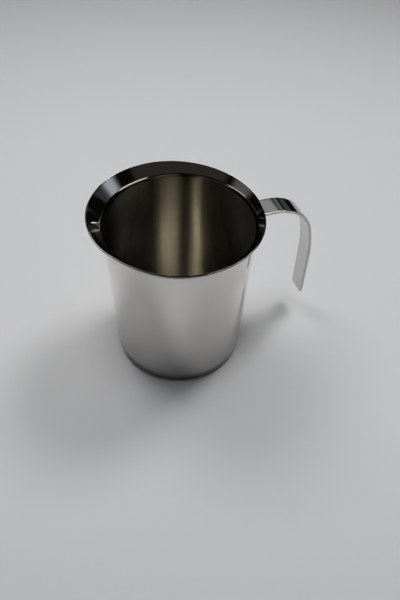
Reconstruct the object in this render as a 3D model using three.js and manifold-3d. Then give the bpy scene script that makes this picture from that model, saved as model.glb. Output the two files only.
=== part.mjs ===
// A small stainless melting pot: a one-piece drawn cup with a flared, obliquely trimmed rim
// and a shallow pouring beak, and an open strap handle spot-welded to the wall under the rim.
//
// Millimetres, +Z up. The origin is the centre of the flat underside, the handle points
// along +X and the beak along -X, so the pot is the same on both sides of the XZ plane.

import * as THREE from 'three';
import { mergeVertices } from 'three/addons/utils/BufferGeometryUtils.js';
import Module from 'manifold-3d';

const wasm = await Module();
wasm.setup();

// ---- driving dimensions ----

const BODY_RADIUS = 50;            // outside of the straight wall
const SHEET = 0.8;                 // thickness of the drawn sheet
const BASE_CORNER = 4;             // outside radius between wall and base
const FLARE_START = 119.8;         // height where wall and flare would meet without a fillet
const FLARE_SLOPE = 0.83;          // outward reach of the flare for each unit of height
const FLARE_FILLET = 4;            // outside radius between wall and flare
const RIM_HEIGHT = 127.1;          // height of the rim over the axis
const RIM_RISE = 0.0375;           // slope of the rim's trim plane, rising towards the beak
const BEAK_DEPTH = 0.8;            // how far the beak is pressed out at the rim
const BEAK_HALF_ANGLE = degrees(27);
const BEAK_EDGE_ANGLE = degrees(9);

const STRAP_WIDTH = 15;
const STRAP_THICKNESS = 2;
const STRAP_TOP = 117.6;           // top face of the strap's level run
const LEVEL_END = 65.6;            // where the level run starts to bend down
const KNUCKLE_RADIUS = 33.6;       // first, tight bend of the grip, on the top face
const KNUCKLE_ANGLE = degrees(70.4);
const SWEEP_RADIUS = 124.5;        // second, gentle bend
const SWEEP_ANGLE = degrees(14.5);
const GRIP_BOTTOM = 20.8;          // height of the strap's free end
const TAB_BEND = 4;                // outside radius of the bend above the welded tab
const TAB_BOTTOM = 91;             // height of the welded tab's lower end
const END_CORNER = 2;              // rounded corners of both strap ends
const SEAM_GAP = 0.3;              // clearance between wall, tab and weld spots

const WELD_DIAMETER = 5;
const WELD_DEPTH = 1.7;            // leaves the spot a little below the tab's face
const WELD_HEIGHTS = { upper_weld_spot: 109, lower_weld_spot: 97 };

const RING_SEGMENTS = 96;
const WIDTH_STEPS = 6;
const CORNER_STEPS = 5;
const KNUCKLE_STEPS = 16;
const SWEEP_STEPS = 5;
const WELD_SIDES = 24;
const CUT_MARGIN = 5;              // how far a cutting bar reaches past the metal it cuts

// ---- helpers ----

function degrees(angle) {
  return angle * Math.PI / 180;
}

function arc(cx, cy, radius, from, to, steps) {
  return Array.from({ length: steps + 1 }, (_, i) => {
    const angle = from + (to - from) * i / steps;
    return new THREE.Vector2(cx + radius * Math.cos(angle), cy + radius * Math.sin(angle));
  });
}

function mergedPositions(geometry) {
  geometry.deleteAttribute('normal');
  geometry.deleteAttribute('uv');
  return mergeVertices(geometry);
}

function movePoints(geometry, move) {
  const position = geometry.getAttribute('position');
  const point = new THREE.Vector3();
  for (let i = 0; i < position.count; i += 1) {
    point.fromBufferAttribute(position, i);
    move(point);
    position.setXYZ(i, point.x, point.y, point.z);
  }
  return geometry;
}

function toSolid(geometry) {
  const merged = mergedPositions(geometry);
  const vertProperties = new Float32Array(merged.getAttribute('position').array);
  const triVerts = new Uint32Array(merged.getIndex().array);
  return new wasm.Manifold(new wasm.Mesh({ numProp: 3, vertProperties, triVerts }));
}

function toGeometry(solid) {
  const mesh = solid.getMesh();
  const geometry = new THREE.BufferGeometry();
  geometry.setAttribute('position', new THREE.BufferAttribute(mesh.vertProperties, 3));
  geometry.setIndex(new THREE.BufferAttribute(mesh.triVerts, 1));
  return geometry;
}

function steelMesh(name, geometry, color, roughness) {
  const material = new THREE.MeshStandardMaterial({ color, roughness, metalness: 1 });
  const mesh = new THREE.Mesh(geometry, material);
  mesh.name = name;
  return mesh;
}

// ---- pot shell ----

const FLARE_ANGLE = Math.atan(FLARE_SLOPE);            // from the vertical
const ALONG = new THREE.Vector2(Math.sin(FLARE_ANGLE), Math.cos(FLARE_ANGLE));
const OUTWARD = new THREE.Vector2(Math.cos(FLARE_ANGLE), -Math.sin(FLARE_ANGLE));
const FILLET_END = FLARE_FILLET * Math.tan(FLARE_ANGLE / 2);   // along the flare
const MEAN_FLARE = (RIM_HEIGHT - FLARE_START) / ALONG.y;

// Where the trim plane cuts the flare at an angle from the handle, along the flare.
function flareLength(azimuth) {
  const levelRadius = BODY_RADIUS + FLARE_SLOPE * (RIM_HEIGHT - FLARE_START);
  const rimRadius = levelRadius / (1 + RIM_RISE * FLARE_SLOPE * Math.cos(azimuth));
  return (rimRadius - BODY_RADIUS) / ALONG.x;
}

// 1 across the middle of the beak, falling smoothly to 0 past its edges.
function beakShare(azimuth) {
  const fromBeak = Math.PI - Math.abs(azimuth);
  const edge = (fromBeak - BEAK_HALF_ANGLE) / BEAK_EDGE_ANGLE;
  return 1 - THREE.MathUtils.smoothstep(edge, -1, 1);
}

function cupProfile() {
  const filletX = BODY_RADIUS + FLARE_FILLET;
  const filletY = FLARE_START - FILLET_END;
  const cornerX = BODY_RADIUS - BASE_CORNER;
  const rim = new THREE.Vector2(BODY_RADIUS, FLARE_START).addScaledVector(ALONG, MEAN_FLARE);
  const middle = rim.clone().addScaledVector(ALONG, (FILLET_END - MEAN_FLARE) / 2);
  const inside = (point) => point.clone().addScaledVector(OUTWARD, -SHEET);
  const tilt = Math.PI - FLARE_ANGLE;
  return [
    new THREE.Vector2(0, 0),
    ...arc(cornerX, BASE_CORNER, BASE_CORNER, -Math.PI / 2, 0, CORNER_STEPS),
    ...arc(filletX, filletY, FLARE_FILLET, Math.PI, tilt, CORNER_STEPS),
    middle,
    rim,
    inside(rim),
    inside(middle),
    ...arc(filletX, filletY, FLARE_FILLET + SHEET, tilt, Math.PI, CORNER_STEPS),
    ...arc(cornerX, BASE_CORNER, BASE_CORNER - SHEET, 0, -Math.PI / 2, CORNER_STEPS),
    new THREE.Vector2(0, SHEET),
  ];
}

// Slides the flare's points along the cone to the trim plane and presses out the beak.
function trimFlare(point) {
  const azimuth = Math.atan2(point.y, point.x);
  const section = new THREE.Vector2(Math.hypot(point.x, point.y), point.z);
  const along = section.clone().sub(new THREE.Vector2(BODY_RADIUS, FLARE_START)).dot(ALONG);
  const share = (along - FILLET_END) / (MEAN_FLARE - FILLET_END);
  if (share <= 0) return;
  section.addScaledVector(ALONG, share * (flareLength(azimuth) - MEAN_FLARE));
  section.addScaledVector(OUTWARD, share * BEAK_DEPTH * beakShare(azimuth));
  point.set(section.x * Math.cos(azimuth), section.x * Math.sin(azimuth), section.y);
}

function potShell() {
  const lathe = new THREE.LatheGeometry(cupProfile(), RING_SEGMENTS);
  lathe.rotateX(Math.PI / 2);
  return mergedPositions(movePoints(lathe, trimFlare));
}

// ---- handle strap ----

// The strap's top face from the tab's lower end to the grip's free end, and the same
// line one thickness further in for the underside.
function strapLine(inset) {
  const tabX = BODY_RADIUS + SEAM_GAP;
  const bendX = tabX + TAB_BEND;
  const bendY = STRAP_TOP - TAB_BEND;
  const knuckleY = STRAP_TOP - KNUCKLE_RADIUS;
  const knuckleEnd = Math.PI / 2 - KNUCKLE_ANGLE;
  const sweepEnd = knuckleEnd - SWEEP_ANGLE;
  const shift = KNUCKLE_RADIUS - SWEEP_RADIUS;
  const sweepX = LEVEL_END + shift * Math.cos(knuckleEnd);
  const sweepY = knuckleY + shift * Math.sin(knuckleEnd);
  const sweep = arc(sweepX, sweepY, SWEEP_RADIUS - inset, knuckleEnd, sweepEnd, SWEEP_STEPS);
  const legStart = sweep.at(-1);
  const legDrop = legStart.y - GRIP_BOTTOM;
  return [
    new THREE.Vector2(tabX + inset, TAB_BOTTOM),
    ...arc(bendX, bendY, TAB_BEND - inset, Math.PI, Math.PI / 2, CORNER_STEPS),
    ...arc(LEVEL_END, knuckleY, KNUCKLE_RADIUS - inset, Math.PI / 2, knuckleEnd, KNUCKLE_STEPS),
    ...sweep.slice(1),
    new THREE.Vector2(legStart.x + legDrop * Math.tan(sweepEnd), GRIP_BOTTOM),
  ];
}

// Presses the tab, and less and less of the bend above it, to the wall's round.
function pressTab(point) {
  const seamRadius = BODY_RADIUS + SEAM_GAP;
  const bendX = seamRadius + TAB_BEND;
  const bendZ = STRAP_TOP - TAB_BEND;
  if (point.x >= bendX) return;
  const turned = Math.max(0, Math.atan2(point.z - bendZ, bendX - point.x)) / (Math.PI / 2);
  const hollow = seamRadius - Math.sqrt(seamRadius ** 2 - point.y ** 2);
  point.x -= hollow * (1 - turned);
}

// What is rounded off one corner of a square-cut end, as a short bar along X.
function cornerWaste(side, bottom, fromX, toX) {
  const edge = STRAP_WIDTH / 2;
  const outline = [
    new THREE.Vector2(edge + CUT_MARGIN, bottom - CUT_MARGIN),
    new THREE.Vector2(edge + CUT_MARGIN, bottom + END_CORNER),
    ...arc(edge - END_CORNER, bottom + END_CORNER, END_CORNER, 0, -Math.PI / 2, CORNER_STEPS),
    new THREE.Vector2(edge - END_CORNER, bottom - CUT_MARGIN),
  ];
  const shape = new THREE.Shape(outline.map((point) => new THREE.Vector2(side * point.x, point.y)));
  const bar = new THREE.ExtrudeGeometry(shape, { depth: toX - fromX, bevelEnabled: false });
  return toSolid(bar.rotateX(Math.PI / 2).rotateZ(Math.PI / 2).translate(fromX, 0, 0));
}

function weldCylinder(diameter, height, fromX, toX) {
  const radius = diameter / 2;
  const cylinder = new THREE.CylinderGeometry(radius, radius, toX - fromX, WELD_SIDES);
  return cylinder.rotateZ(Math.PI / 2).translate((fromX + toX) / 2, 0, height);
}

function handleStrap() {
  const outline = new THREE.Shape([...strapLine(0), ...strapLine(STRAP_THICKNESS).reverse()]);
  const bar = new THREE.ExtrudeGeometry(outline, {
    depth: STRAP_WIDTH, steps: WIDTH_STEPS, bevelEnabled: false,
  });
  bar.rotateX(Math.PI / 2).translate(0, STRAP_WIDTH / 2, 0);
  let strap = toSolid(movePoints(bar, pressTab));

  const tabInside = BODY_RADIUS - CUT_MARGIN;
  const tabOutside = BODY_RADIUS + SEAM_GAP + STRAP_THICKNESS + CUT_MARGIN;
  const grip = strapLine(0).at(-1);
  for (const side of [-1, 1]) {
    strap = strap.subtract(cornerWaste(side, TAB_BOTTOM, tabInside, tabOutside));
    strap = strap.subtract(cornerWaste(side, GRIP_BOTTOM, grip.x - CUT_MARGIN, grip.x + CUT_MARGIN));
  }
  for (const height of Object.values(WELD_HEIGHTS)) {
    const hole = weldCylinder(WELD_DIAMETER + 2 * SEAM_GAP, height, tabInside, tabOutside);
    strap = strap.subtract(toSolid(hole));
  }
  return toGeometry(strap);
}

// ---- assembly ----

const pot = new THREE.Group();
pot.add(steelMesh('pot_shell', potShell(), '#a9aaa8', 0.25));
pot.add(steelMesh('handle_strap', handleStrap(), '#c3c4c3', 0.15));
for (const [name, height] of Object.entries(WELD_HEIGHTS)) {
  const seamX = BODY_RADIUS + SEAM_GAP;
  const spot = mergedPositions(weldCylinder(WELD_DIAMETER, height, seamX, seamX + WELD_DEPTH));
  pot.add(steelMesh(name, spot, '#8f8c86', 0.45));
}

export default pot;
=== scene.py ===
import math

import bpy
from mathutils import Matrix, Vector


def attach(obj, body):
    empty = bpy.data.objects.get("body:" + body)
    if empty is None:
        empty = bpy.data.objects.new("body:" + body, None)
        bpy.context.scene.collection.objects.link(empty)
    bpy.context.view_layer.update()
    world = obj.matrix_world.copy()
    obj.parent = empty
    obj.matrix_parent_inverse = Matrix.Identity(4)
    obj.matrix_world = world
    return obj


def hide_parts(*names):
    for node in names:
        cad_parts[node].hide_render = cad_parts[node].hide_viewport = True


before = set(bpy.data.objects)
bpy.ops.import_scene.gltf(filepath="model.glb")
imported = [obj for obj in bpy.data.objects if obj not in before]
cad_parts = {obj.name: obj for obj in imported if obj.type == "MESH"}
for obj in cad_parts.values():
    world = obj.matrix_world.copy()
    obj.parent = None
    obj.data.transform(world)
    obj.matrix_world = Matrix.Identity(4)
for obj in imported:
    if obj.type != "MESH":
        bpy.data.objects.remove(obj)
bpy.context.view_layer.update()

# A stainless melting pot: a drawn cup with a flared, obliquely trimmed rim and a shallow
# pouring beak, and an open strap handle spot-welded to the wall. The frame's +X points to the
# handle and -X to the beak. The pieces are worked out in millimetres and become metres in
# their meshes. The materials, the table and the lamps are in metres.

MM = 0.001

# ---- the pot's driving dimensions ----

BODY_RADIUS = 50.0
SHEET = 0.8
BASE_CORNER = 4.0
FLARE_START = 119.8
FLARE_SLOPE = 0.83
FLARE_FILLET = 4.0
RIM_HEIGHT = 127.1
RIM_RISE = 0.0375
RIM_EDGE_ROUND = 0.2
BEAK_DEPTH = 0.8
BEAK_HALF_ANGLE = math.radians(27)
BEAK_EDGE_ANGLE = math.radians(9)

# ---- the handle's driving dimensions ----

STRAP_WIDTH = 15.0
STRAP_THICKNESS = 2.0
STRAP_EDGE_ROUND = 0.35
# How much of the strap's thinning at its ends is taken from its edges' rounding.
END_EDGE_SHARE = 0.6
STRAP_TOP = 117.6
LEVEL_END = 65.6
KNUCKLE_RADIUS = 33.6
KNUCKLE_ANGLE = math.radians(70.4)
SWEEP_RADIUS = 124.5
SWEEP_ANGLE = math.radians(14.5)
GRIP_BOTTOM = 20.8
TAB_BEND = 4.0
TAB_BOTTOM = 91.0
END_CORNER = 2.0
SEAM_GAP = 0.3
SEAM_RADIUS = BODY_RADIUS + SEAM_GAP

# ---- the weld spots, and the dimples that the electrodes left ----

WELD_HEIGHTS = {"upper_weld_spot": 109.0, "lower_weld_spot": 97.0}
WELD_RADIUS = 2.5
TAB_DIMPLE = 0.3
WALL_DIMPLE = 0.12
# Where a dimple's side starts and ends, as shares of the weld's radius.
TAB_DIMPLE_SIDE = (0.85, 1.2)
WALL_DIMPLE_SIDE = (0.55, 1.15)
# The top of a spot's button from its middle outwards, as (radius, height) points.
BUTTON_TOP = [
    (0.0, 0.03), (0.5, 0.035), (1.0, 0.06), (1.3, 0.1),
    (1.55, 0.13), (1.8, 0.12), (2.0, 0.08), (2.1, 0.0),
]
# How deep a button reaches into the tab, and how far its top stands clear of the dimple.
BUTTON_DEPTH = 0.25
BUTTON_LIFT = 0.01

# ---- how finely the pieces are meshed ----

# The radii of the rings in the flat base, inside and out.
DISC_RINGS = [2, 8, 16, 24, 32, 40]
CORNER_STEPS = 10
WALL_STEPS = 30
TURN_STEPS = 232
# The finer mesh round the weld marks: its heights, and its degrees to each side of them.
WELD_ZONE = (92, 114)
WELD_ZONE_ANGLE = 6
WELD_ZONE_STEPS = 55
WELD_ZONE_TURN_STEPS = 24
FILLET_STEPS = 8
FLARE_STEPS = 10
EDGE_STEPS = 4
STRAP_WIDTH_STEPS = 32
STRAP_END_STEPS = 12
BUTTON_STEPS = 48

# ---- small helpers ----


def smoothstep(value, low, high):
    share = min(1.0, max(0.0, (value - low) / (high - low)))
    return share * share * (3 - 2 * share)


def spread(low, high, steps):
    """Evenly spaced numbers from low to high, both included."""
    return [low + (high - low) * i / steps for i in range(steps + 1)]


def arc_points(centre_x, centre_y, radius, start, end, steps):
    return [
        (centre_x + radius * math.cos(angle), centre_y + radius * math.sin(angle))
        for angle in spread(start, end, steps)
    ]


def numbered(rings):
    """The points of some rings in one list, and each ring as the numbers of its points."""
    points, numbers = [], []
    for ring in rings:
        numbers.append(range(len(points), len(points) + len(ring)))
        points += ring
    return points, numbers


def faces_between(low, high):
    """The faces that join two rings of point numbers. A ring of one point is a tip."""
    count = max(len(low), len(high))
    faces = []
    for k in range(count):
        after = (k + 1) % count
        if len(low) == 1:
            faces.append((low[0], high[after], high[k]))
        elif len(high) == 1:
            faces.append((low[k], low[after], high[0]))
        else:
            faces.append((low[k], low[after], high[after], high[k]))
    return faces


def mesh_object(name, points, faces, materials, face_slots=None):
    """A smooth-shaded object from points in millimetres."""
    mesh = bpy.data.meshes.new(name)
    mesh.from_pydata([Vector(p) * MM for p in points], [], faces)
    for material in materials:
        mesh.materials.append(material)
    if face_slots:
        mesh.polygons.foreach_set("material_index", face_slots)
    mesh.shade_smooth()
    mesh.update()
    piece = bpy.data.objects.new(name, mesh)
    bpy.context.scene.collection.objects.link(piece)
    return piece


# ---- the drawn pot ----

# In the half section, as (radius, height): ALONG points up the flare's cone, and OUTWARD
# squarely out of it. The mean flare is the one midway between the handle and the beak.
FLARE_ANGLE = math.atan(FLARE_SLOPE)
ALONG = (math.sin(FLARE_ANGLE), math.cos(FLARE_ANGLE))
OUTWARD = (math.cos(FLARE_ANGLE), -math.sin(FLARE_ANGLE))
FILLET_END = FLARE_FILLET * math.tan(FLARE_ANGLE / 2)
MEAN_FLARE = (RIM_HEIGHT - FLARE_START) / ALONG[1]


def flare_length(azimuth):
    """How far up the flare the trim plane cuts it, at an angle from the handle."""
    level_radius = BODY_RADIUS + FLARE_SLOPE * (RIM_HEIGHT - FLARE_START)
    rim_radius = level_radius / (1 + RIM_RISE * FLARE_SLOPE * math.cos(azimuth))
    return (rim_radius - BODY_RADIUS) / ALONG[0]


def beak_share(azimuth):
    """1 in the beak, falling to 0 over its soft sides."""
    from_beak = math.pi - abs(math.remainder(azimuth, 2 * math.pi))
    edge = (from_beak - BEAK_HALF_ANGLE) / BEAK_EDGE_ANGLE
    return 1 - smoothstep(edge, -1, 1)


def flare_point(along, depth):
    """A point of the mean flare: along the cone from its start, and depth into the sheet."""
    return (
        BODY_RADIUS + along * ALONG[0] - depth * OUTWARD[0],
        FLARE_START + along * ALONG[1] - depth * OUTWARD[1],
    )


def rim_edge():
    """The rounded cut edge of the mean flare, from its outside to its inside."""
    rounding = RIM_EDGE_ROUND
    last = MEAN_FLARE - rounding
    quarter = spread(0, math.pi / 2, EDGE_STEPS)
    outer = [
        flare_point(last + rounding * math.sin(angle), rounding - rounding * math.cos(angle))
        for angle in quarter
    ]
    inner = [
        flare_point(last + rounding * math.cos(angle), SHEET - rounding + rounding * math.sin(angle))
        for angle in quarter
    ]
    return outer + inner


def cup_sections():
    """The half section from the axis underneath, over the rim, to the axis inside, as
    (surface, points) runs. Each run starts where the one before ends."""
    corner_x = BODY_RADIUS - BASE_CORNER
    fillet_x = BODY_RADIUS + FLARE_FILLET
    fillet_y = FLARE_START - FILLET_END
    tilt = math.pi - FLARE_ANGLE
    down = -math.pi / 2
    inner_corner = BASE_CORNER - SHEET
    inner_fillet = FLARE_FILLET + SHEET
    straight = spread(FILLET_END, MEAN_FLARE - RIM_EDGE_ROUND, FLARE_STEPS)[1:-1]
    wall = spread(BASE_CORNER, WELD_ZONE[0], WALL_STEPS)[1:]
    wall += spread(*WELD_ZONE, WELD_ZONE_STEPS)[1:]
    return [
        ("base", [(0, 0)] + [(x, 0) for x in DISC_RINGS + [corner_x]]),
        ("outside", arc_points(corner_x, BASE_CORNER, BASE_CORNER, down, 0, CORNER_STEPS)[1:]),
        ("outside", [(BODY_RADIUS, z) for z in wall]),
        ("outside", arc_points(fillet_x, fillet_y, FLARE_FILLET, math.pi, tilt, FILLET_STEPS)),
        ("outside", [flare_point(along, 0) for along in straight]),
        ("edge", rim_edge()),
        ("flare", [flare_point(along, SHEET) for along in reversed(straight)]),
        ("flare", arc_points(fillet_x, fillet_y, inner_fillet, tilt, math.pi, FILLET_STEPS)),
        ("inside", [(BODY_RADIUS - SHEET, z) for z in reversed(wall)]),
        ("inside", arc_points(corner_x, BASE_CORNER, inner_corner, 0, down, CORNER_STEPS)),
        ("floor", [(x, SHEET) for x in reversed(DISC_RINGS)] + [(0, SHEET)]),
    ]


def trimmed(radius, height, azimuth):
    """Slides a flare point along the cone to the trim plane, and presses out the beak."""
    along = (radius - BODY_RADIUS) * ALONG[0] + (height - FLARE_START) * ALONG[1]
    share = (along - FILLET_END) / (MEAN_FLARE - FILLET_END)
    if share > 0:
        slide = share * (flare_length(azimuth) - MEAN_FLARE)
        press = share * BEAK_DEPTH * beak_share(azimuth)
        radius += slide * ALONG[0] + press * OUTWARD[0]
        height += slide * ALONG[1] + press * OUTWARD[1]
    return radius, height


def dimple(across, height, deepest, side):
    """How deep the welding electrodes pressed a face in, at a point of it."""
    depth = 0.0
    for spot in WELD_HEIGHTS.values():
        reach = math.hypot(across, height - spot) / WELD_RADIUS
        depth += deepest * (1 - smoothstep(reach, *side))
    return depth


def pot_azimuths():
    """Even steps round the pot, finer behind the handle where the weld marks are."""
    fine = spread(-WELD_ZONE_ANGLE, WELD_ZONE_ANGLE, WELD_ZONE_TURN_STEPS)
    coarse = spread(WELD_ZONE_ANGLE, 360 - WELD_ZONE_ANGLE, TURN_STEPS)
    return [math.radians(azimuth) for azimuth in fine[:-1] + coarse[:-1]]


def pot_ring(surface, section_radius, section_height, azimuths):
    """The ring that one point of the half section makes round the axis, or a tip on it."""
    if section_radius == 0:
        return [(0, 0, section_height)]
    ring = []
    for azimuth in azimuths:
        radius, height = trimmed(section_radius, section_height, azimuth)
        if surface == "inside":
            across = BODY_RADIUS * math.remainder(azimuth, 2 * math.pi)
            radius += dimple(across, section_height, WALL_DIMPLE, WALL_DIMPLE_SIDE)
        ring.append((radius * math.cos(azimuth), radius * math.sin(azimuth), height))
    return ring


def make_pot(materials):
    """The pot, with a material for each of its surfaces."""
    surfaces = list(materials)
    stations = [(surface, x, z) for surface, run in cup_sections() for x, z in run]
    azimuths = pot_azimuths()
    points, rings = numbered([pot_ring(*station, azimuths) for station in stations])
    faces, slots = [], []
    for (surface, _, _), low, high in zip(stations[1:], rings, rings[1:]):
        joined = faces_between(low, high)
        faces += joined
        slots += [surfaces.index(surface)] * len(joined)
    return mesh_object("pot", points, faces, list(materials.values()), slots)


# ---- the handle ----


def strap_path():
    """The strap's middle line as (x, z, heading, travelled, bent) stations from the welded
    tab's lower end, and its length. bent goes from 0 on the tab to 1 past the bend above it."""
    half = STRAP_THICKNESS / 2
    x, z, heading, travelled = SEAM_RADIUS + half, TAB_BOTTOM, math.pi / 2, 0.0
    tab_length = STRAP_TOP - TAB_BEND - TAB_BOTTOM
    level_length = LEVEL_END - (SEAM_RADIUS + TAB_BEND)
    turned = KNUCKLE_ANGLE + SWEEP_ANGLE
    sweep_centre = (KNUCKLE_RADIUS - SWEEP_RADIUS) * math.cos(KNUCKLE_ANGLE)
    sweep_end = STRAP_TOP - KNUCKLE_RADIUS + sweep_centre
    sweep_end += (SWEEP_RADIUS - half) * math.cos(turned)
    leg_length = (sweep_end - GRIP_BOTTOM) / math.sin(turned)
    stretches = [
        # a straight's length or a bend's radius, how far it turns, steps
        (tab_length, 0, 60),
        (TAB_BEND - half, math.pi / 2, 14),
        (level_length, 0, 8),
        (KNUCKLE_RADIUS - half, KNUCKLE_ANGLE, 40),
        (SWEEP_RADIUS - half, SWEEP_ANGLE, 16),
        (leg_length, 0, 40),
    ]
    tab_bend_number = 1
    stations = [(x, z, heading, travelled, 0.0)]
    for number, (size, turn, steps) in enumerate(stretches):
        angle = turn / steps
        way = size * angle if turn else size / steps
        chord = 2 * size * math.sin(angle / 2) if turn else way
        for step in range(steps):
            x += chord * math.cos(heading - angle / 2)
            z += chord * math.sin(heading - angle / 2)
            heading -= angle
            travelled += way
            bent = float(number > tab_bend_number)
            if number == tab_bend_number:
                bent = (step + 1) / steps
            stations.append((x, z, heading, travelled, bent))
    return stations, travelled


def moved_station(station, distance):
    """A station further along the straight that the given one lies on."""
    x, z, heading, travelled, bent = station
    x += distance * math.cos(heading)
    z += distance * math.sin(heading)
    return x, z, heading, travelled + distance, bent


def refined_ends(stations, length):
    """The stations with extra ones in the rounded corners at both ends."""
    tolerance = 0.01
    near = END_CORNER + tolerance
    quarter = spread(0, math.pi / 2, STRAP_END_STEPS)
    corner = [END_CORNER * (1 - math.cos(angle)) for angle in quarter]
    start = [moved_station(stations[0], distance) for distance in corner]
    middle = [station for station in stations if near < station[3] < length - near]
    end = [moved_station(stations[-1], -distance) for distance in reversed(corner)]
    return start + middle + end


def drawn_in(radius, from_end):
    """How far a rounded corner draws the outline in, at a distance from an end."""
    return radius - math.sqrt(radius**2 - (radius - from_end) ** 2)


def strap_section(from_end):
    """The strap's rounded outline as (across, through) points, narrower and thinner in the
    last stretch before an end, where its corners and edges are rounded."""
    half_width = STRAP_WIDTH / 2
    half_thickness = STRAP_THICKNESS / 2
    edge = STRAP_EDGE_ROUND
    if from_end < END_CORNER:
        half_width -= drawn_in(END_CORNER, from_end)
    if from_end < edge:
        thinner = drawn_in(edge, from_end)
        half_thickness -= thinner
        edge -= thinner * END_EDGE_SHARE
    flat_side = half_width - edge
    flat_top = half_thickness - edge
    flat = spread(-half_width + edge, flat_side, STRAP_WIDTH_STEPS)
    top = [(across, half_thickness) for across in flat]
    upper = [
        (flat_side + edge * math.sin(angle), flat_top + edge * math.cos(angle))
        for angle in spread(0, math.pi / 2, EDGE_STEPS)[1:-1]
    ]
    side = [(half_width, flat_top), (half_width, -flat_top)]
    lower = [(across, -through) for across, through in reversed(upper)]
    half_outline = top + upper + side + lower
    return half_outline + [(-across, -through) for across, through in half_outline]


def fall_back(across):
    """How far the round seam falls back from its front line, at a distance from that line."""
    return SEAM_RADIUS - math.sqrt(SEAM_RADIUS**2 - across * across)


def strap_ring(station, length):
    """The strap's outline at one station. Through points to the wall on the tab, which is
    curved to fit the wall, and up on the level run."""
    x, z, heading, travelled, bent = station
    ring = []
    for across, through in strap_section(min(travelled, length - travelled)):
        if bent == 0 and through < 0:
            through += dimple(across, z, TAB_DIMPLE, TAB_DIMPLE_SIDE)
        ring_x = x - through * math.sin(heading) - fall_back(across) * (1 - bent)
        ring.append((ring_x, across, z + through * math.cos(heading)))
    return ring


def make_strap(material):
    stations, length = strap_path()
    stations = refined_ends(stations, length)
    points, rings = numbered([strap_ring(station, length) for station in stations])
    faces = []
    for low, high in zip(rings, rings[1:]):
        faces += faces_between(low, high)
    faces += [tuple(reversed(rings[0])), tuple(rings[-1])]
    return mesh_object("handle", points, faces, [material])


def button_ring(radius, rise, height):
    """A ring of a weld spot's button, or a tip, over the bottom of the tab's dimple."""
    face_x = SEAM_RADIUS + STRAP_THICKNESS - TAB_DIMPLE
    steps = BUTTON_STEPS if radius else 1
    ring = []
    for k in range(steps):
        angle = 2 * math.pi * k / steps
        across = radius * math.cos(angle)
        x = face_x + rise + BUTTON_LIFT - fall_back(across)
        ring.append((x, across, height + radius * math.sin(angle)))
    return ring


def make_weld_spot(name, height, material):
    """The fused spot that shows in the bottom of the tab's dimple: a low button with a
    raised ring round a pressed-in middle."""
    button_radius = BUTTON_TOP[-1][0]
    profile = BUTTON_TOP + [(button_radius, -BUTTON_DEPTH), (0.0, -BUTTON_DEPTH)]
    points, rings = numbered([button_ring(radius, rise, height) for radius, rise in profile])
    faces = []
    for low, high in zip(rings, rings[1:]):
        faces += [face[::-1] for face in faces_between(low, high)]
    return mesh_object(f"{name}_button", points, faces, [material])


# ---- materials ----

# The sockets of a colour mix node, whose names it also uses for its other kinds of mix.
MIX_SHARE, MIX_LOW, MIX_HIGH, MIX_RESULT = 0, 6, 7, 2


def opaque(colour):
    """A colour with an alpha of 1. Another node's output is passed on as it is."""
    return (*colour, 1) if isinstance(colour, tuple) else colour


class Steel:
    """A metal whose node tree is built by short calls."""

    def __init__(self, name, anisotropic=0.0):
        self.material = bpy.data.materials.new(name)
        self.material.use_nodes = True
        self.tree = self.material.node_tree
        self.shader = self.tree.nodes["Principled BSDF"]
        self.surface("Metallic", 1.0)
        self.surface("Anisotropic", anisotropic)
        self.place = self.node("ShaderNodeTexCoord").outputs["Object"]

    def node(self, kind, **settings):
        made = self.tree.nodes.new(kind)
        for key, value in settings.items():
            setattr(made, key, value)
        return made

    def set(self, node, socket, value):
        """Gives a node's input a fixed value, or links another node's output to it."""
        if isinstance(value, bpy.types.NodeSocket):
            self.tree.links.new(value, node.inputs[socket])
        else:
            node.inputs[socket].default_value = value

    def surface(self, socket, value):
        self.set(self.shader, socket, value)

    def paint(self, colour):
        self.surface("Base Color", opaque(colour))

    def vector(self, operation, first, second=None):
        made = self.node("ShaderNodeVectorMath", operation=operation)
        self.set(made, 0, first)
        if second is not None:
            self.set(made, 1, second)
        return made.outputs[0]

    def maths(self, operation, first, second):
        made = self.node("ShaderNodeMath", operation=operation)
        self.set(made, 0, first)
        self.set(made, 1, second)
        return made.outputs[0]

    def noise(self, place, scale=1.0, detail=3.0, roughness=0.5):
        made = self.node("ShaderNodeTexNoise")
        self.set(made, "Vector", place)
        self.set(made, "Scale", scale)
        self.set(made, "Detail", detail)
        self.set(made, "Roughness", roughness)
        return made.outputs["Fac"]

    def ranged(self, value, source, target=(0.0, 1.0)):
        """The value moved from the source's (low, high) to the target's, and kept inside it."""
        made = self.node("ShaderNodeMapRange")
        for socket, number in enumerate((value, *source, *target)):
            self.set(made, socket, number)
        return made.outputs[0]

    def mixed(self, share, low, high):
        made = self.node("ShaderNodeMix", data_type="RGBA")
        self.set(made, MIX_SHARE, share)
        self.set(made, MIX_LOW, opaque(low))
        self.set(made, MIX_HIGH, opaque(high))
        return made.outputs[MIX_RESULT]

    def bump(self, height, strength, distance):
        made = self.node("ShaderNodeBump")
        self.set(made, "Strength", strength)
        self.set(made, "Distance", distance)
        self.set(made, "Height", height)
        self.surface("Normal", made.outputs["Normal"])

    def draw_out(self, direction):
        """Draws reflections out in a direction, across the steel's grain. The socket takes a
        direction only from another node."""
        self.surface("Tangent", self.vector("ADD", direction, (0, 0, 0)))

    def around(self, up, sideways):
        """Coordinates for a pattern round the pot's axis: up of its units to a metre of
        height, and sideways of them to a radian round the axis."""
        flat = self.vector("MULTIPLY", self.place, (1, 1, 0))
        direction = self.vector("NORMALIZE", flat)
        ring = self.vector("MULTIPLY", direction, (sideways, sideways, 0))
        height = self.vector("MULTIPLY", self.place, (0, 0, up))
        return self.vector("ADD", ring, height)


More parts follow.
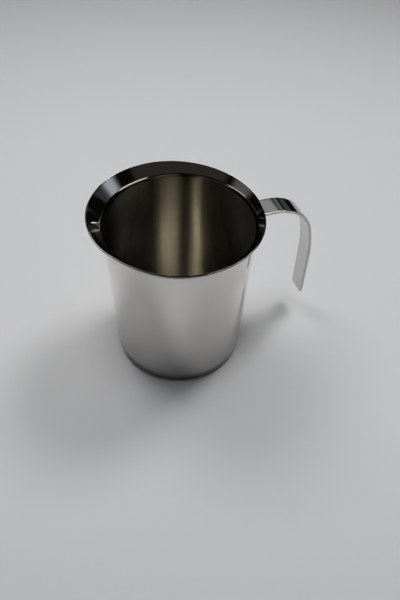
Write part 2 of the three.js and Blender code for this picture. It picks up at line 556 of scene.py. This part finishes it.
def turned_steel(name, roughness, anisotropic):
    """Steel finished on a lathe, with smudges and with bands round the axis, which draws
    reflections out upwards."""
    steel = Steel(name, anisotropic)
    bands = steel.noise(steel.around(up=260, sideways=1.2), roughness=0.6)
    smudges = steel.noise(steel.place, scale=28.0, detail=4.0)
    smudged = steel.maths("ADD", steel.ranged(smudges, (0.3, 0.7), (-0.02, 0.025)), roughness)
    banded = steel.ranged(bands, (0.3, 0.7), (-0.02, 0.02))
    steel.surface("Roughness", steel.maths("ADD", smudged, banded))
    steel.draw_out((0, 0, 1))
    return steel


def outside_steel():
    """The outside wall: fine turned lines, and painted shade that darkens it towards the base, near
    black at its foot.
    """
    unshaded = (0.812, 0.79, 0.757)
    # Painted shade for the lower wall and a painted shadow at its foot, standing in for the
    # reflected contact shadow of the table.
    painted_shade = (0.487, 0.477, 0.468)
    painted_foot_shadow = (0.03, 0.03, 0.031)
    foot_low, foot_high, unshaded_from = 0.001, 0.011, 0.085
    uneven = 0.0015
    steel = turned_steel("satin_outside_steel", roughness=0.06, anisotropic=0.2)
    lines = steel.noise(steel.around(up=2600, sideways=3.0), detail=4.0, roughness=0.6)
    steel.bump(lines, strength=0.003, distance=0.0001)
    parts = steel.node("ShaderNodeSeparateXYZ")
    steel.set(parts, 0, steel.place)
    waves = steel.ranged(steel.noise(steel.place, scale=30.0), (0.3, 0.7), (-uneven, uneven))
    level = steel.maths("ADD", parts.outputs["Z"], waves)
    above_foot_shadow = steel.ranged(level, (foot_low, foot_high))
    less_shaded = steel.ranged(level, (foot_high, unshaded_from))
    # Painted shade: the colour goes darker below 85 mm and near black in the last 11 mm, for the
    # reflected contact shadow of the table.
    steel.paint(steel.mixed(above_foot_shadow, painted_foot_shadow, steel.mixed(less_shaded, painted_shade, unshaded)))
    return steel.material


def inside_steel():
    """The inside wall, with faint upright streaks left by the drawing die."""
    darker = (0.53, 0.512, 0.47)
    lighter = (0.62, 0.594, 0.525)
    steel = turned_steel("inside_steel", roughness=0.225, anisotropic=1.0)
    streaks = steel.noise(steel.around(up=2.0, sideways=20.0), roughness=0.65)
    steel.paint(steel.mixed(steel.ranged(streaks, (0.35, 0.65)), darker, lighter))
    return steel.material


def spun_steel(name, colour, roughness):
    """A flat disc finished on a lathe, whose tangent points away from the axis."""
    steel = Steel(name, anisotropic=0.6)
    steel.paint(colour)
    steel.surface("Roughness", roughness)
    from_axis = steel.vector("MULTIPLY", steel.place, (1, 1, 0))
    steel.surface("Tangent", steel.vector("NORMALIZE", from_axis))
    return steel.material


def polished_steel(name, colour, roughness):
    """Smooth steel, with faint waves and smudges, and hairlines round the axis."""
    smudge_depth = 0.05
    hairline_share = 0.02
    steel = Steel(name)
    steel.paint(colour)
    smudges = steel.noise(steel.place, scale=40.0, detail=5.0, roughness=0.6)
    target = (roughness, roughness + smudge_depth)
    steel.surface("Roughness", steel.ranged(smudges, (0.35, 0.75), target))
    waves = steel.noise(steel.place, scale=60.0, detail=2.0)
    hairlines = steel.noise(steel.around(up=1800, sideways=4.0), roughness=0.7)
    height = steel.maths("ADD", waves, steel.maths("MULTIPLY", hairlines, hairline_share))
    steel.bump(height, strength=0.12, distance=0.0004)
    return steel.material


def strap_steel():
    """Bright strip with grain along its length, here in the plane of the handle."""
    steel = Steel("strip_steel", anisotropic=0.2)
    steel.paint((0.61, 0.61, 0.6))
    smudges = steel.noise(steel.place, scale=55.0, detail=4.0, roughness=0.6)
    steel.surface("Roughness", steel.ranged(smudges, (0.3, 0.75), (0.07, 0.12)))
    steel.draw_out((0, 1, 0))
    grain = steel.noise(steel.vector("MULTIPLY", steel.place, (60, 2600, 60)), roughness=0.6)
    steel.bump(grain, strength=0.03, distance=0.0001)
    return steel.material


def pot_materials():
    """The material of each surface of the pot."""
    return {
        "base": spun_steel("base_steel", (0.64, 0.63, 0.61), 0.3),
        "outside": outside_steel(),
        "edge": polished_steel("cut_edge_steel", (0.36, 0.36, 0.37), 0.14),
        "flare": polished_steel("buffed_flare_steel", (0.62, 0.6, 0.58), 0.04),
        "inside": inside_steel(),
        "floor": spun_steel("inside_floor_steel", (0.6, 0.58, 0.54), 0.35),
    }


# ---- the table and the lamps ----

# The table ends where it does so that the steel mirrors a dark room past it.
TABLE_LEFT, TABLE_RIGHT, TABLE_FRONT, TABLE_BACK = -0.75, 0.95, -1.0, 1.2
TABLE_PAINT = (0.71, 0.722, 0.737)
TABLE_ROUGHNESS = 0.6

WARM_DARK = (1.0, 0.88, 0.8)
SKY = (0.82, 0.91, 1.0)
NEUTRAL = (1.0, 1.0, 1.0)
LAMP_WARM = (1.0, 0.97, 0.9)
LAMP_WHITE = (1.0, 0.99, 0.98)
LAMP_COOL = (0.97, 0.98, 1.0)

# Azimuths go from the handle round to +Y, and elevations up from the table, in degrees.
LAMP_DISTANCE = 1.2
LAMP_TARGET = (0, 0, 0.06)
TABLE_LAMPS = [
    # name, azimuth, elevation, width, height, watts, colour
    ("key_back_right", 23.5, 58, 0.36, 0.36, 3.0, LAMP_WHITE),
    ("fill_back_left", 115, 57, 0.48, 0.48, 2.25, LAMP_WHITE),
    ("overhead", -108, 89, 0.4, 0.4, 1.35, LAMP_COOL),
]
METAL_LAMPS = [
    ("key_strip", 12, 57, 0.25, 0.62, 4.7, LAMP_WARM),
    ("fill_strip", 110, 57, 0.76, 0.62, 7.0, LAMP_WARM),
]


def make_floor():
    corners = [
        (TABLE_LEFT, TABLE_FRONT, 0),
        (TABLE_RIGHT, TABLE_FRONT, 0),
        (TABLE_RIGHT, TABLE_BACK, 0),
        (TABLE_LEFT, TABLE_BACK, 0),
    ]
    mesh = bpy.data.meshes.new("table")
    mesh.from_pydata(corners, [], [(0, 1, 2, 3)])
    floor = bpy.data.objects.new("table", mesh)
    bpy.context.scene.collection.objects.link(floor)
    paint = bpy.data.materials.new("pale_table")
    paint.use_nodes = True
    shader = paint.node_tree.nodes["Principled BSDF"]
    shader.inputs["Base Color"].default_value = opaque(TABLE_PAINT)
    shader.inputs["Roughness"].default_value = TABLE_ROUGHNESS
    mesh.materials.append(paint)


def soft_light(name, azimuth, elevation, width, height, watts, colour, in_metal):
    """A soft lamp aimed at the pot. It either shows in the metal or lights matt surfaces."""
    data = bpy.data.lights.new(name, "AREA")
    data.shape = "RECTANGLE" if in_metal else "ELLIPSE"
    data.size = width
    data.size_y = height
    data.energy = watts
    data.color = colour
    light = bpy.data.objects.new(name, data)
    bpy.context.scene.collection.objects.link(light)
    azimuth, elevation = math.radians(azimuth), math.radians(elevation)
    level = math.cos(elevation)
    out = Vector((math.cos(azimuth) * level, math.sin(azimuth) * level, math.sin(elevation)))
    light.location = Vector(LAMP_TARGET) + out * LAMP_DISTANCE
    light.rotation_mode = "QUATERNION"
    light.rotation_quaternion = out.to_track_quat("Z", "Y")
    light.visible_diffuse = not in_metal
    light.visible_glossy = in_metal
    light.visible_camera = False


def make_lamps():
    for lamp in TABLE_LAMPS:
        soft_light(*lamp, in_metal=False)
    for lamp in METAL_LAMPS:
        soft_light(*lamp, in_metal=True)


# ---- the room round the table ----

# What the metal mirrors, apart from the table and the strip lamps.
ROOM_GLOW = 0.01
ROOM_PATCHES = [
    # azimuth, elevation, half width, half height, soft edge, colour, strength
    (-108, 38, 70, 12, 10, WARM_DARK, 0.05),
    (-6, 25, 8, 8, 11, SKY, 0.48),
    (8, 18, 4, 5, 3, SKY, 0.07),
    (39, 16, 7, 6, 5, SKY, 0.1),
    (49, 28, 3, 3, 3, NEUTRAL, 0.18),
    (58, 38, 10, 4, 9, NEUTRAL, 0.36),
    (158, 27, 15, 6, 10, NEUTRAL, 0.15),
    (-38, 14, 22, 9, 8, LAMP_WARM, 0.7),
    (166, 12, 16, 8, 8, NEUTRAL, 0.5),
    (134, -1, 14, 9, 5, NEUTRAL, 0.13),
    (143, 55, 12, 14, 8, NEUTRAL, 0.55),
    (-8, 55, 10, 14, 8, NEUTRAL, 0.3),
]
TABLE_AMBIENT = 0.18
BACKDROP = 0.5


class Room:
    """The world's node tree, built by short calls."""

    def __init__(self):
        world = bpy.data.worlds.new("room")
        bpy.context.scene.world = world
        world.use_nodes = True
        self.tree = world.node_tree
        self.tree.nodes.clear()
        direction = self.tree.nodes.new("ShaderNodeTexCoord").outputs["Generated"]
        parts = self.tree.nodes.new("ShaderNodeSeparateXYZ")
        self.tree.links.new(direction, parts.inputs[0])
        self.azimuth = self.maths("ARCTAN2", parts.outputs["Y"], parts.outputs["X"])
        self.elevation = self.maths("ARCSINE", parts.outputs["Z"])

    def maths(self, operation, *values):
        made = self.tree.nodes.new("ShaderNodeMath")
        made.operation = operation
        for socket, value in enumerate(values):
            if isinstance(value, float):
                made.inputs[socket].default_value = value
            else:
                self.tree.links.new(value, made.inputs[socket])
        return made.outputs[0]

    def near(self, angle, centre, half, soft):
        """1 within half of the centre, falling smoothly to 0 over the soft edge, in degrees."""
        off = self.maths("SUBTRACT", angle, math.radians(centre))
        off = self.maths("WRAP", off, math.pi, -math.pi)
        off = self.maths("ABSOLUTE", off)
        made = self.tree.nodes.new("ShaderNodeMapRange")
        made.interpolation_type = "SMOOTHSTEP"
        limits = (math.radians(half - soft / 2), math.radians(half + soft / 2), 1.0, 0.0)
        for socket, number in enumerate(limits, 1):
            made.inputs[socket].default_value = number
        self.tree.links.new(off, made.inputs[0])
        return made.outputs[0]

    def glow(self, colour, strength):
        made = self.tree.nodes.new("ShaderNodeBackground")
        made.inputs["Color"].default_value = opaque(colour)
        if isinstance(strength, float):
            made.inputs["Strength"].default_value = strength
        else:
            self.tree.links.new(strength, made.inputs["Strength"])
        return made.outputs[0]

    def patch(self, azimuth, elevation, half_width, half_height, soft, colour, strength):
        """A soft-edged bright area of the room."""
        across = self.near(self.azimuth, azimuth, half_width, soft)
        up = self.near(self.elevation, elevation, half_height, soft)
        area = self.maths("MULTIPLY", across, up)
        return self.glow(colour, self.maths("MULTIPLY", area, strength))

    def added(self, first, second):
        made = self.tree.nodes.new("ShaderNodeAddShader")
        self.tree.links.new(first, made.inputs[0])
        self.tree.links.new(second, made.inputs[1])
        return made.outputs[0]

    def chosen(self, way, otherwise, then):
        """One light for the rays that a Light Path output picks out, another for the rest."""
        ways = self.tree.nodes.new("ShaderNodeLightPath")
        made = self.tree.nodes.new("ShaderNodeMixShader")
        for socket, value in enumerate((ways.outputs[way], otherwise, then)):
            self.tree.links.new(value, made.inputs[socket])
        return made.outputs[0]


def make_world():
    """The room's patches for reflections, an even light for what has met a matt surface,
    and a plain backdrop for the camera."""
    room = Room()
    seen = room.glow(NEUTRAL, ROOM_GLOW)
    for patch in ROOM_PATCHES:
        seen = room.added(seen, room.patch(*patch))
    seen = room.chosen("Diffuse Depth", seen, room.glow(NEUTRAL, TABLE_AMBIENT))
    seen = room.chosen("Is Camera Ray", seen, room.glow(NEUTRAL, BACKDROP))
    output = room.tree.nodes.new("ShaderNodeOutputWorld")
    room.tree.links.new(seen, output.inputs["Surface"])


# ---- the camera ----

CAMERA_PLACE = Vector((-66.6, -209.4, 307.3)) * MM
CAMERA_HEADING = math.radians(21.81)
CAMERA_DOWN = math.radians(50.55)
CAMERA_ROLL = math.radians(3.58)
LENS = 26.6
SENSOR_WIDTH = 36


def make_camera():
    """The camera heads from +Y towards +X, and looks down at the pot."""
    data = bpy.data.cameras.new("camera")
    data.sensor_width = SENSOR_WIDTH
    data.lens = LENS
    camera = bpy.data.objects.new("camera", data)
    bpy.context.scene.collection.objects.link(camera)
    heading = Matrix.Rotation(-CAMERA_HEADING, 4, "Z")
    tilt = Matrix.Rotation(math.pi / 2 - CAMERA_DOWN, 4, "X")
    turn = heading @ tilt @ Matrix.Rotation(CAMERA_ROLL, 4, "Z")
    camera.matrix_world = Matrix.Translation(CAMERA_PLACE) @ turn
    bpy.context.scene.camera = camera


# ---- the scene ----

bpy.context.scene.view_settings.view_transform = "Standard"
bpy.context.scene.view_settings.look = "High Contrast"
# More bounces would fill the inside of the pot with light.
bpy.context.scene.cycles.glossy_bounces = 2
make_camera()
make_world()
make_floor()
make_lamps()

pot = make_pot(pot_materials())
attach(pot, "root")
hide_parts("pot_shell")

handle = make_strap(strap_steel())
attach(handle, "root")
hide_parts("handle_strap")

weld_steel = polished_steel("weld_steel", (0.5, 0.47, 0.42), 0.35)
for node, height in WELD_HEIGHTS.items():
    spot = make_weld_spot(node, height, weld_steel)
    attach(spot, "root")
    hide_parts(node)
